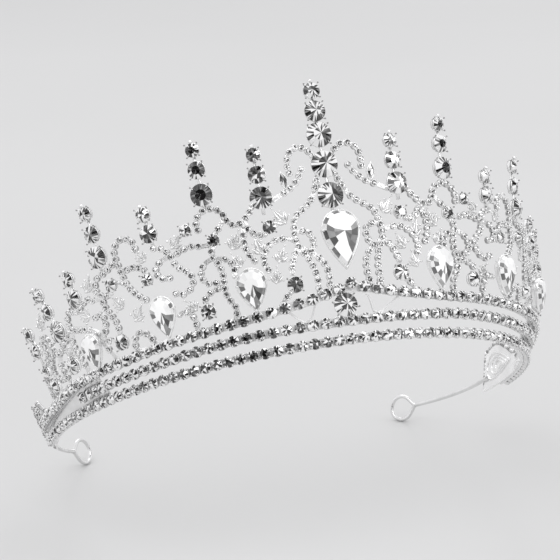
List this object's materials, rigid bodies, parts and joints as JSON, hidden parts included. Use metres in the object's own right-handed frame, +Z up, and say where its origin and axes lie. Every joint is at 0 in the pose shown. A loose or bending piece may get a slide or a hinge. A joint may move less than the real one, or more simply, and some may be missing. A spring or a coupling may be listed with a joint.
{
  "type": "bridal tiara",
  "caption": "Curved bridal tiara with stone-set rails, scroll work, teardrop stones and stone-topped spires, on two wire arms that end in hairpin eyes.",
  "frame": {"origin": "under the middle of the tiara's outline, at the lowest point of its wire eyes", "axes": "+Z up with the tiara tipped back as it sits on a head; -Y is the front, +X the wearer's left"},
  "size_m": [0.157, 0.138, 0.1317],
  "materials": {
    "plated_metal": "bright silver plating",
    "wire_metal": "polished silver-coloured wire",
    "crystal": "clear faceted stone with a silvered back",
    "small_crystal": "small clear stone in a beaded cup"
  },
  "bodies": {
    "root": {"base_setting": "plated_metal", "base_stone": "crystal", "center_braces": "plated_metal", "center_drop_setting": "plated_metal", "center_drop_stone": "crystal", "center_spire": "plated_metal", "center_spire_stones": "crystal", "drop_setting_1_left": "plated_metal", "drop_setting_1_right": "plated_metal", "drop_setting_2_left": "plated_metal", "drop_setting_2_right": "plated_metal", "drop_setting_3_left": "plated_metal", "drop_setting_3_right": "plated_metal", "drop_stones": "crystal", "end_plate_left": "plated_metal", "end_plate_right": "plated_metal", "leaves": "plated_metal", "lower_rail": "plated_metal", "lower_rail_cups": "plated_metal", "lower_rail_stones": "crystal", "middle_rail": "plated_metal", "middle_rail_cups": "plated_metal", "middle_rail_stones": "crystal", "round_settings": "plated_metal", "round_stones": "crystal", "scroll_1_left": "plated_metal", "scroll_1_right": "plated_metal", "scroll_2_left": "plated_metal", "scroll_2_right": "plated_metal", "scroll_3_left": "plated_metal", "scroll_3_right": "plated_metal", "scroll_4_left": "plated_metal", "scroll_4_right": "plated_metal", "scroll_5_left": "plated_metal", "scroll_5_right": "plated_metal", "scroll_stones_left": "small_crystal", "scroll_stones_right": "small_crystal", "spire_1_left": "plated_metal", "spire_1_right": "plated_metal", "spire_2_left": "plated_metal", "spire_2_right": "plated_metal", "spire_3_left": "plated_metal", "spire_3_right": "plated_metal", "spire_4_left": "plated_metal", "spire_4_right": "plated_metal", "spire_5_left": "plated_metal", "spire_5_right": "plated_metal", "spire_6_left": "plated_metal", "spire_6_right": "plated_metal", "spire_7_left": "plated_metal", "spire_7_right": "plated_metal", "spire_stones": "crystal", "upper_rail": "plated_metal", "upper_rail_cups": "plated_metal", "upper_rail_stones": "crystal", "wire_arm_left": "wire_metal", "wire_arm_right": "wire_metal"}
  },
  "joints": []
}
